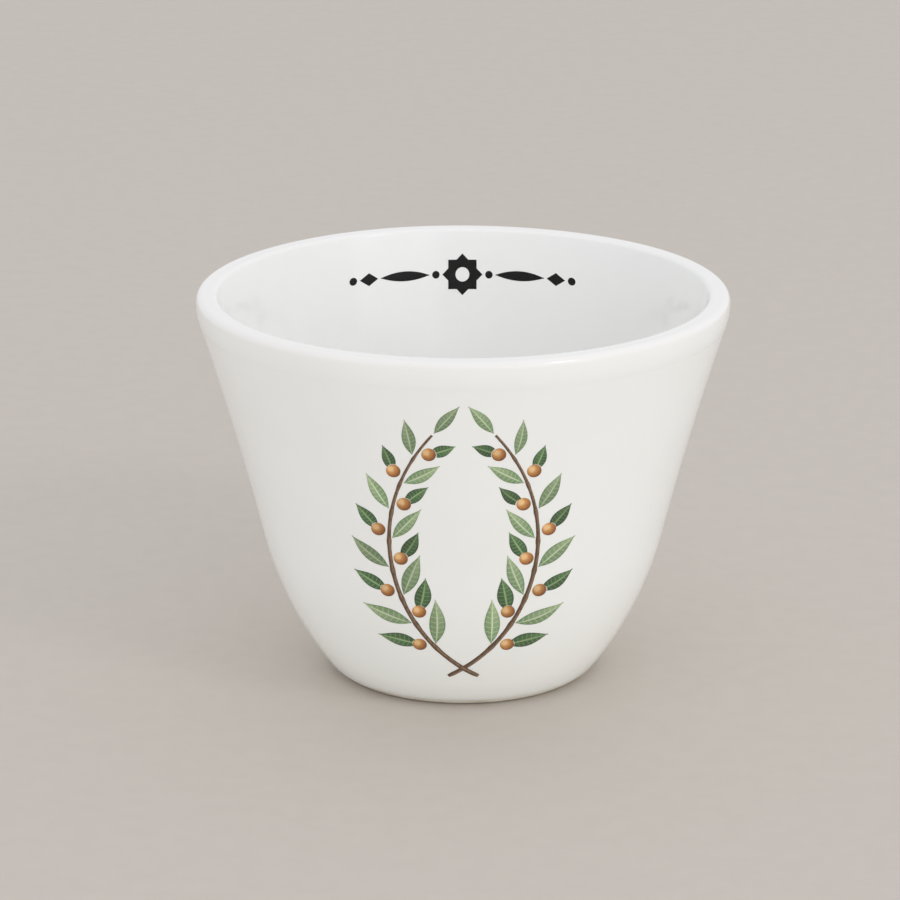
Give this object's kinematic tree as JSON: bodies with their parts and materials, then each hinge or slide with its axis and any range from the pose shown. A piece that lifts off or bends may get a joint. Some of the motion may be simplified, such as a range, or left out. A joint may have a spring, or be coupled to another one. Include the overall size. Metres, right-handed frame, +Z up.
{
  "type": "handleless coffee cup",
  "caption": "Small handleless coffee cup in glazed white porcelain: flared wall, rolled lip, rounded belly and low foot ring, with a leafy wreath print outside and an ornament inside the rim.",
  "frame": {"origin": "centre of the plane that the foot ring stands on", "axes": "+Z up along the cup's axis, the front print faces -Y"},
  "size_m": [0.062, 0.062, 0.0457],
  "materials": {
    "bisque_porcelain": "bare fired porcelain, fine matt",
    "white_glaze": "glossy white glaze",
    "brown_enamel": "fired enamel, satin gloss",
    "dark_green_enamel": "fired enamel, satin gloss",
    "light_green_enamel": "fired enamel, satin gloss",
    "amber_enamel": "fired enamel, satin gloss",
    "black_enamel": "fired enamel, satin gloss"
  },
  "bodies": {
    "root": {"porcelain_body": "bisque_porcelain", "glaze_coat": "white_glaze", "foot_well_glaze": "white_glaze", "front_print_stems": "brown_enamel", "front_print_dark_leaves": "dark_green_enamel", "front_print_light_leaves": "light_green_enamel", "front_print_berries": "amber_enamel", "inner_print_ornament": "black_enamel"}
  },
  "joints": []
}
